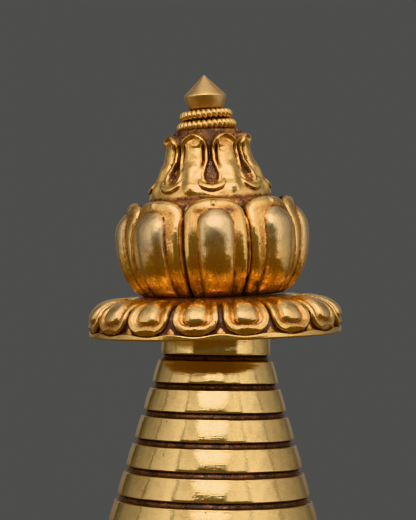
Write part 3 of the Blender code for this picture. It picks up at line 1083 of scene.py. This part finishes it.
def back_petals(radius, angle, height, recess):
    """Raises a narrow strip at each gap between two petals."""
    from_gap = np.abs((angle + 1.1) % (360 / BUD_PETALS) - 180 / BUD_PETALS)
    strip = np.exp(-((from_gap / 1.1) ** 2)) * eased(height, 3.0, 9.0) * (height < 27)
    grain = 0.15 * uneven(angle, height * 3, 21, 60)
    wide = radius > 1
    return radius + (3.0 * strip + grain) * wide, height, recess - 0.6 * strip + 0 * angle


core_side = [(float(bud_crest(row)) - CORE_DEPTH, float(row), 0.78) for row in CORE_ROWS]
core_shoulder = ((21.9, 27.0, 0.6), (21.3, 29.4, 0.42), (20.2, 30.6, 0.45), (0.0, 30.6, 1.0))
core_profile = ((0.0, 0.0, 1.0), *core_side, *core_shoulder)
core_mesh = turned("bud_ground", core_profile, 360, soiled, back_petals)
close_up(core_mesh, in_metres(bud_frame))
fit(shown("bud_ground", core_mesh), ["bud_core"])


# The upper tier: a flared collar of eight hooded petals with a ridge and two slits each. The
# drop-shaped hollows between them have a ring-punched ground and a crescent lip at the foot.
COLLAR_OUTLINE = (
    (30.5, 19.7),
    (33.0, 19.3),
    (35.0, 18.5),
    (37.0, 17.0),
    (38.9, 15.8),
    (42.7, 13.7),
    (46.6, 12.65),
    (50.0, 12.9),
    (51.6, 12.6),
    (52.5, 10.3),
)
COLLAR_GROUND = (
    (30.5, 19.4),
    (35.0, 18.0),
    (37.0, 15.4),
    (40.0, 13.2),
    (44.7, 11.3),
    (52.5, 9.9),
)
COLUMN_HALF_WIDTHS = (
    (30.5, 26.0),
    (34.4, 26.0),
    (35.3, 18.6),
    (36.8, 15.9),
    (38.3, 15.2),
    (40.5, 17.4),
    (42.6, 20.2),
    (47.0, 20.6),
    (52.5, 20.6),
)
COLUMN_ARCH = (45.6, 50.9)
HOOD_RISE = 1.15
PUNCHES = 66  # rings punched into the ground, all round the collar
PUNCH_PITCH = 1.15
COLLAR_SIDES = 480
COLLAR_ROWS = 96


def along(table, position):
    """Reads a (position, value) table with straight runs between its entries."""
    return np.interp(position, *zip(*table))


angle, height = np.meshgrid(
    np.linspace(0, 360, COLLAR_SIDES + 1), np.linspace(30.5, 52.5, COLLAR_ROWS + 1)
)
outline = along(COLLAR_OUTLINE, height)
ground = along(COLLAR_GROUND, height)
from_hollow = np.abs((angle + 22.5) % 45 - 22.5)
from_column = 22.5 - from_hollow
arch = np.clip((height - COLUMN_ARCH[0]) / (COLUMN_ARCH[1] - COLUMN_ARCH[0]), 0, 1)
half_width = along(COLUMN_HALF_WIDTHS, height) * rounded(arch, 2.3)
to_side = (half_width - from_column) * np.radians(1) * outline  # in millimetres
raised = eased(to_side, -0.3, 0.3)
rim = np.exp(-(((to_side - 0.65) / 0.45) ** 2)) * eased(height, 35.3, 37.5)
rim = rim * (1 - eased(height, 49.0, 50.5))
slit_depth = eased(height, 39.5, 42.0) * (1 - eased(height, 46.6, 48.6))
slit = np.exp(-(((to_side - 1.6) / 0.3) ** 2)) * slit_depth
ridge = rounded(np.clip(from_column / 13.0, 0, 1), 2.0) * eased(height, 36.5, 41.0)
ridge = ridge * (1 - eased(height, 47.0, 49.5))
hood = np.exp(-(((to_side - 1.2) / 1.1) ** 2)) * eased(height, 45.5, 49.0) * raised
rib = np.exp(-((from_column / 5.5) ** 2)) * eased(height, 31.3, 34.5)
rib = rib * (1 - eased(height, 38.0, 43.0))
relief = (outline - ground) * raised + 0.45 * rim * raised - 1.0 * slit * raised
relief = relief + 1.25 * ridge * raised + HOOD_RISE * hood + 0.9 * rib
lip_turn = from_hollow * np.radians(1) * 16.8
lip_low = 34.1 + 0.13 * lip_turn**2
lip_across = height - lip_low
lip_end = eased(lip_turn, 4.1, 3.5)
lip = rounded(np.clip(lip_across / 1.0, -1, 1), 2.0) * lip_end
under_lip = np.exp(-(((lip_across + 1.3) / 0.32) ** 2)) * eased(lip_turn, 3.9, 3.0)
relief = np.maximum(relief, (outline - ground) * eased(lip, 0.0, 0.4)) + 0.75 * lip
relief = relief - 0.3 * under_lip
dents = 0.08 * uneven(angle, height, 31, 14) + 0.05 * uneven(angle * 3, height * 4, 32, 16)
punched = (1 - raised) * (1 - eased(lip, 0.0, 0.3)) * eased(height, 35.0, 35.8)
turn_side = angle / 360 * PUNCHES
step_up = height / (PUNCH_PITCH * 0.866)
row = np.round(step_up)
from_punch_side = (turn_side + 0.5 * (row % 2) + 0.5) % 1 - 0.5
from_punch = np.hypot(from_punch_side, (step_up - row) * 0.866) * PUNCH_PITCH
punch = np.exp(-(((from_punch - 0.36) / 0.13) ** 2)) * punched
radius = ground + relief + dents * raised + 0.22 * punch
points = on_axis(radius, angle, height)
collar_recess = 0.1 + 0.1 * eased(dents, 0.0, 0.1)
collar_recess = np.maximum(collar_recess, 0.88 * punched - 0.5 * punch)
collar_recess = np.maximum(collar_recess, slit * raised)
collar_recess = np.maximum(collar_recess, 0.8 * under_lip)
collar_recess = np.maximum(collar_recess, 0.75 * (1 - eased(height, 30.8, 32.4)))
edge_line = eased(np.abs(to_side), 0.45, 0.1) * (height > 36.5)
collar_recess = np.maximum(collar_recess, 0.75 * edge_line)
inner_hood = eased(to_side, 1.8, 3.0) * eased(height, 45.5, 47.5) * (height < 52)
collar_recess = np.maximum(collar_recess, 0.35 * inner_hood)
collar_recess = np.where(lip > 0.5, 0.04, collar_recess)
collar_lay = np.stack((np.radians(angle) * 14, height, 0 * height), axis=-1)
cap_low = on_axis(np.zeros(angle[:1].shape), angle[:1], height[:1])
cap_high = on_axis(np.zeros(angle[:1].shape), angle[:1], height[-1:])
points = np.concatenate((cap_low, points, cap_high))
collar_recess = np.concatenate((np.ones(angle[:1].shape), collar_recess, np.ones(angle[:1].shape)))
collar_lay = np.concatenate((collar_lay[:1], collar_lay, collar_lay[-1:]))
collar_mesh = woven("lotus_tier", [(points, collar_recess, 0.0, collar_lay)], chased)
close_up(collar_mesh, in_metres(bud_frame))
fit(shown("lotus_tier", collar_mesh), ["lotus_collar"])


# The stem under the finial, a turned neck in shadow, left unrubbed and dark with soil.
stem_profile = (
    (0.0, 52.4, 1.0),
    (6.4, 52.4, 0.95),
    (6.2, 53.4, 0.85),
    (6.0, 55.6, 0.9),
    (6.1, 56.3, 0.7),
    (5.3, 56.6, 0.8),
    (5.1, 58.6, 0.8),
    (5.2, 59.0, 0.6),
    (0.0, 59.05, 1.0),
)
stem_mesh = turned("finial_stem", stem_profile, 96, soiled)
close_up(stem_mesh, in_metres(bud_frame))
fit(shown("finial_stem", stem_mesh), ["jewel_stem"])


# Two rings of twisted rope round the stem, cast from twisted wire and rubbed bright on their
# strands, with soil in the twist.
LOWER_ROPE = (54.05, 8.05, 1.5)  # height, radius of the ring, radius of the rope
UPPER_ROPE = (57.4, 7.0, 1.45)
ROPE_STRANDS = (32, 28)
ROPE_LEAN = -2.0  # both rings were soldered on a little lower on the left
ROPE_SIZES = {
    "Ring radius": 0.0,
    "Rope radius": 0.0,
    "Strands": 24,
    "Twist": 0.8,
    "Notch": 0.6 * MM,
}


def rope_tree(material):
    """Sweeps a round rope about the axis and cuts its twist between the strands."""
    tree, given = shape_tree("rope ring", ROPE_SIZES)
    size = given.outputs
    path = add(
        tree,
        "GeometryNodeCurvePrimitiveCircle",
        {"Resolution": 360, "Radius": size["Ring radius"]},
    )
    section = add(
        tree,
        "GeometryNodeCurvePrimitiveCircle",
        {"Resolution": 22, "Radius": size["Rope radius"]},
    )
    tube = add(tree, "GeometryNodeCurveToMesh", {"Curve": path, "Profile Curve": section})
    spot = add(
        tree, "ShaderNodeSeparateXYZ", {"Vector": add(tree, "GeometryNodeInputPosition", {})}
    )
    round_axis = add(
        tree,
        "ShaderNodeMath",
        {0: spot.outputs["Y"], 1: spot.outputs["X"]},
        operation="ARCTAN2",
    )
    flat = add(tree, "ShaderNodeCombineXYZ", {"X": spot.outputs["X"], "Y": spot.outputs["Y"]})
    reach = add(tree, "ShaderNodeVectorMath", {0: flat}, operation="LENGTH")
    outward = add(
        tree,
        "ShaderNodeMath",
        {0: reach.outputs["Value"], 1: size["Ring radius"]},
        operation="SUBTRACT",
    )
    round_rope = add(
        tree, "ShaderNodeMath", {0: spot.outputs["Z"], 1: outward}, operation="ARCTAN2"
    )
    strands = add(
        tree, "ShaderNodeMath", {0: round_axis, 1: size["Strands"]}, operation="MULTIPLY"
    )
    twisted = add(
        tree,
        "ShaderNodeMath",
        {0: round_rope, 1: size["Twist"], 2: strands},
        operation="MULTIPLY_ADD",
    )
    half = add(tree, "ShaderNodeMath", {0: twisted, 1: 0.5}, operation="MULTIPLY")
    wave = add(tree, "ShaderNodeMath", {0: half}, operation="SINE")
    crest = add(tree, "ShaderNodeMath", {0: wave}, operation="ABSOLUTE")
    softened = add(tree, "ShaderNodeMath", {0: crest, 1: 0.7}, operation="POWER")
    valley = add(tree, "ShaderNodeMath", {0: 1.0, 1: softened}, operation="SUBTRACT")
    cut = add(tree, "ShaderNodeMath", {0: valley, 1: size["Notch"]}, operation="MULTIPLY")
    inward = add(tree, "ShaderNodeMath", {0: cut, 1: -1.0}, operation="MULTIPLY")
    push = add(
        tree,
        "ShaderNodeVectorMath",
        {0: add(tree, "GeometryNodeInputNormal", {}), "Scale": inward},
        operation="SCALE",
    )
    soil = add(
        tree,
        "ShaderNodeMapRange",
        {"Value": valley, "From Min": 0.6, "From Max": 0.95, "To Min": 0.03, "To Max": 0.5},
    )
    marked = add(
        tree,
        "GeometryNodeStoreNamedAttribute",
        {"Geometry": tube, "Name": "recess", "Value": soil},
        data_type="FLOAT",
        domain="POINT",
    )
    notched = add(tree, "GeometryNodeSetPosition", {"Geometry": marked, "Offset": push})
    real = add(tree, "GeometryNodeRealizeInstances", {"Geometry": notched})
    finished = add(tree, "GeometryNodeSetMaterial", {"Geometry": real, "Material": material})
    add(tree, "NodeGroupOutput", {"Geometry": finished})
    return tree


satin = gilding(
    "satin fire gilding",
    CHASED_GOLD,
    PALE_GILT,
    polish=0.3,
    dull=0.5,
    strokes=(2.6, 2.6, 0.25),
    follows_surface=False,
    pitting=0.3,
    tooling=0.08,
    grain=0.05,
    mottling=0.9,
)
rope = rope_tree(satin)
rope_turn = Matrix.Rotation(math.radians(ROPE_LEAN), 4, "Y")
for name, (height, ring_radius, rope_radius), strands in zip(
    ("rope_ring_lower", "rope_ring_upper"), (LOWER_ROPE, UPPER_ROPE), ROPE_STRANDS
):
    start = bpy.data.meshes.new(name)
    sizes = {
        "Ring radius": ring_radius * MM,
        "Rope radius": rope_radius * MM,
        "Strands": strands,
        "Twist": ROPE_SIZES["Twist"],
        "Notch": ROPE_SIZES["Notch"],
    }
    ring = grown(f"{name}_twist", start, rope, sizes)
    rope_frame = bud_frame @ Matrix.Translation((0, 0, height)) @ rope_turn
    close_up(ring.data, in_metres(rope_frame))
    fit(ring, [name])


# The jewel on top: a pointed cone over a short foot, cast solid, filed to a crisp ridge and
# burnished upwards, so that it has a dozen faint flats.
JEWEL_ROWS = (
    (0.0, 59.1, 1.0),
    (5.0, 59.1, 0.9),
    (5.4, 59.25, 0.65),
    (5.6, 59.7, 0.5),
    (5.75, 60.2, 0.4),
    (6.3, 61.9, 0.14),
    (6.62, 63.1, 0.12),
    (6.7, 63.35, 0.0),
    (6.6, 63.6, 0.05),
    (6.2, 64.1, 0.12),
    (4.9, 65.4, 0.14),
    (3.3, 67.0, 0.14),
    (1.9, 68.4, 0.12),
    (0.8, 69.5, 0.1),
    (0.35, 69.95, 0.0),
    (0.0, 70.05, 0.0),
)


def flats(radius, angle, height, recess):
    """Twelve faint flats from the file."""
    turn = np.cos(np.radians(angle * 12))
    return radius * (1 + 0.002 * turn), height + 0 * angle, recess


jewel_mesh = turned("jewel_point", JEWEL_ROWS, 144, satin, flats, wear=0.45)
close_up(jewel_mesh, in_metres(bud_frame))
fit(shown("jewel_point", jewel_mesh), ["jewel"])


# The photographer's table: a round pale board with a matt paint, smaller than the view.
FLOOR_RADIUS = 340.0
board = bpy.data.materials.new("pale matt paint")
board.use_nodes = True
paint = board.node_tree.nodes["Principled BSDF"]
speckle = add(
    board.node_tree,
    "ShaderNodeTexNoise",
    {
        "Vector": add(board.node_tree, "ShaderNodeTexCoord", {}).outputs["Object"],
        "Scale": 1 / (3.0 * MM),
    },
)
tint = add(
    board.node_tree,
    "ShaderNodeValToRGB",
    {"Fac": speckle},
    stops=((0.3, "#CFCDC8"), (0.7, "#D6D4CF")),
)
board.node_tree.links.new(tint.outputs["Color"], paint.inputs["Base Color"])
paint.inputs["Roughness"].default_value = 0.85
floor_rows = ((0.0, -4.0, 0.0), (FLOOR_RADIUS, -4.0, 0.0), (FLOOR_RADIUS, 0.0, 0.0), (0.0, 0.0, 0.0))
floor_mesh = turned("floor", floor_rows, 96, board)
close_up(floor_mesh)
floor_mesh.shade_flat()
floor = shown("floor", floor_mesh)
floor.visible_glossy = False
floor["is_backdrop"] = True


# Soft studio light: tall diffusers round the front, side by side with narrow dark joints, which
# the burnished metal mirrors, one overhead, and a dim grey room. The camera doesn't see them.
LIGHT_DISTANCE = 1600.0
VIEW_AZIMUTH = -2.5
PANELS = (
    # azimuths of the left edge (foot, top) and the right edge, elevations, glow at both edges,
    # and how many times LIGHT_DISTANCE away
    ((-20.5, -34.0), (14.5, 28.5), (22.5, 39.0), (3.0, 2.4), 1.0),
    ((-34.0, -34.0), (28.5, 28.5), (39.0, 60.0), (3.0, 2.4), 1.0),
    ((-47.6, -47.6), (-22.3, -22.3), (9.0, 22.5), (0.85, 0.9), 1.0),
    ((-47.6, -47.6), (-22.3, -36.0), (22.5, 39.0), (0.85, 0.9), 1.0),
    ((-47.6, -47.6), (-36.0, -36.0), (39.0, 60.0), (0.85, 0.9), 1.0),
    ((16.3, 16.3), (43.0, 43.0), (6.0, 22.5), (0.9, 1.3), 1.0),
    ((16.3, 30.5), (43.0, 43.0), (22.5, 39.0), (0.9, 1.3), 1.0),
    ((30.5, 30.5), (43.0, 43.0), (39.0, 60.0), (0.9, 1.3), 1.0),
    ((-92.0, -92.0), (-49.8, -49.8), (-16.0, 60.0), (0.5, 1.1), 1.0),
    ((45.2, 45.2), (83.0, 83.0), (-14.0, 60.0), (1.2, 0.8), 1.0),
    ((-142.0, -142.0), (-94.2, -94.2), (-20.0, 60.0), (0.08, 0.48), 1.0),
    ((85.2, 85.2), (146.0, 146.0), (-20.0, 60.0), (0.62, 0.14), 1.0),
    ((-75.0, -75.0), (75.0, 75.0), (62.0, 88.0), (0.75, 0.8), 1.0),
    ((110.0, 110.0), (250.0, 250.0), (55.0, 88.0), (0.6, 0.6), 1.0),
    ((-142.0, -142.0), (146.0, 146.0), (-12.0, 61.0), (0.15, 0.15), 1.06),
)
PANEL_STEPS = 12


def towards(azimuth, elevation):
    """The direction of an azimuth from the front, positive to the right, and an elevation."""
    across, up = math.radians(azimuth), math.radians(elevation)
    return Vector(
        (
            math.sin(across) * math.cos(up),
            -math.cos(across) * math.cos(up),
            math.sin(up),
        )
    )


cloth = bpy.data.materials.new("lit diffuser cloth")
cloth.use_nodes = True
cloth.node_tree.nodes.remove(cloth.node_tree.nodes["Principled BSDF"])
folds = add(
    cloth.node_tree,
    "ShaderNodeTexNoise",
    {
        "Vector": add(cloth.node_tree, "ShaderNodeTexCoord", {}).outputs["Object"],
        "Scale": 1 / (260.0 * MM),
        "Detail": 2.0,
    },
)
evenness = add(
    cloth.node_tree,
    "ShaderNodeMapRange",
    {"Value": folds, "From Min": 0.3, "From Max": 0.7, "To Min": 0.85, "To Max": 1.15},
)
glow = add(cloth.node_tree, "ShaderNodeAttribute", {}, attribute_name="glow").outputs["Fac"]
power = add(cloth.node_tree, "ShaderNodeMath", {0: glow, 1: evenness}, operation="MULTIPLY")
shining = add(
    cloth.node_tree, "ShaderNodeEmission", {"Color": linear("#FFFDFA"), "Strength": power}
)
cloth.node_tree.links.new(
    shining.outputs[0], cloth.node_tree.nodes["Material Output"].inputs["Surface"]
)
cloth_points, cloth_faces, cloth_glow = [], [], []
for left, right, (bottom, top), (first, last), away in PANELS:
    begin = len(cloth_points)
    for row in range(PANEL_STEPS + 1):
        up = row / PANEL_STEPS
        start = left[0] + (left[1] - left[0]) * up
        stop = right[0] + (right[1] - right[0]) * up
        for column in range(PANEL_STEPS + 1):
            across = column / PANEL_STEPS
            azimuth = start + (stop - start) * across + VIEW_AZIMUTH
            spot = towards(azimuth, bottom + (top - bottom) * up) * LIGHT_DISTANCE * away
            cloth_points.append(tuple((spot + Vector((0, 0, 120))) * MM))
            cloth_glow.append(first + (last - first) * across)
    for row in range(PANEL_STEPS):
        for column in range(PANEL_STEPS):
            corner = begin + row * (PANEL_STEPS + 1) + column
            below = (corner, corner + 1)
            above = (corner + PANEL_STEPS + 2, corner + PANEL_STEPS + 1)
            cloth_faces.append((*below, *above))
cloth_mesh = bpy.data.meshes.new("diffusers")
cloth_mesh.from_pydata(cloth_points, [], cloth_faces)
cloth_mesh.attributes.new("glow", "FLOAT", "POINT").data.foreach_set("value", cloth_glow)
cloth_mesh.materials.append(cloth)
diffusers = shown("diffusers", cloth_mesh)
diffusers.visible_camera = False
diffusers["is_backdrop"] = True
top_light = bpy.data.lights.new("weak top light", "AREA")
top_light.size = 1.2
top_light.energy = 2.0
top_lamp = bpy.data.objects.new("weak top light", top_light)
top_lamp.location = (0.0, 0.0, 1.9)
bpy.context.scene.collection.objects.link(top_lamp)

room = bpy.data.worlds.new("grey room")
room.use_nodes = True
backdrop = room.node_tree.nodes["Background"]
backdrop.inputs["Color"].default_value = linear("#5F5F5E")
seen = add(room.node_tree, "ShaderNodeLightPath", {}).outputs["Is Camera Ray"]
aim = add(room.node_tree, "ShaderNodeTexCoord", {}).outputs["Generated"]
upward = add(room.node_tree, "ShaderNodeSeparateXYZ", {"Vector": aim}).outputs["Z"]
share_up = add(room.node_tree, "ShaderNodeMapRange", {"Value": upward, "From Min": -1.0})
paint_up = add(
    room.node_tree,
    "ShaderNodeValToRGB",
    {"Fac": share_up},
    stops=((0.0, "#5E4B3A"), (0.3, "#6E5843"), (0.44, "#7A6653"), (0.53, "#928C83"), (1.0, "#A5A29D")),
)
walls = add(room.node_tree, "ShaderNodeBackground", {"Color": paint_up})
both = add(room.node_tree, "ShaderNodeMixShader", {0: seen, 1: walls, 2: backdrop})
room.node_tree.links.new(both.outputs[0], room.node_tree.nodes["World Output"].inputs["Surface"])
bpy.context.scene.world = room
bpy.context.scene.view_settings.view_transform = "Khronos PBR Neutral"


# The camera stands half a metre off, a little to the left, level with the parasol's underside.
CAMERA_DISTANCE = 510.0
EYE_HEIGHT = 111.8
CAMERA_PITCH = 92.67928
CAMERA_TURN = (-0.89902, -2.21234)
LENS = 110.769
lens = bpy.data.cameras.new("camera")
lens.lens = LENS
lens.sensor_width = 36
camera = bpy.data.objects.new("camera", lens)
camera.location = towards(VIEW_AZIMUTH, 0) * CAMERA_DISTANCE * MM
camera.location.z = EYE_HEIGHT * MM
camera.rotation_euler = [math.radians(turn) for turn in (CAMERA_PITCH, *CAMERA_TURN)]
bpy.context.scene.collection.objects.link(camera)
bpy.context.scene.camera = camera

sizes = {"cad": cad_box, "visual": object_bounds()}
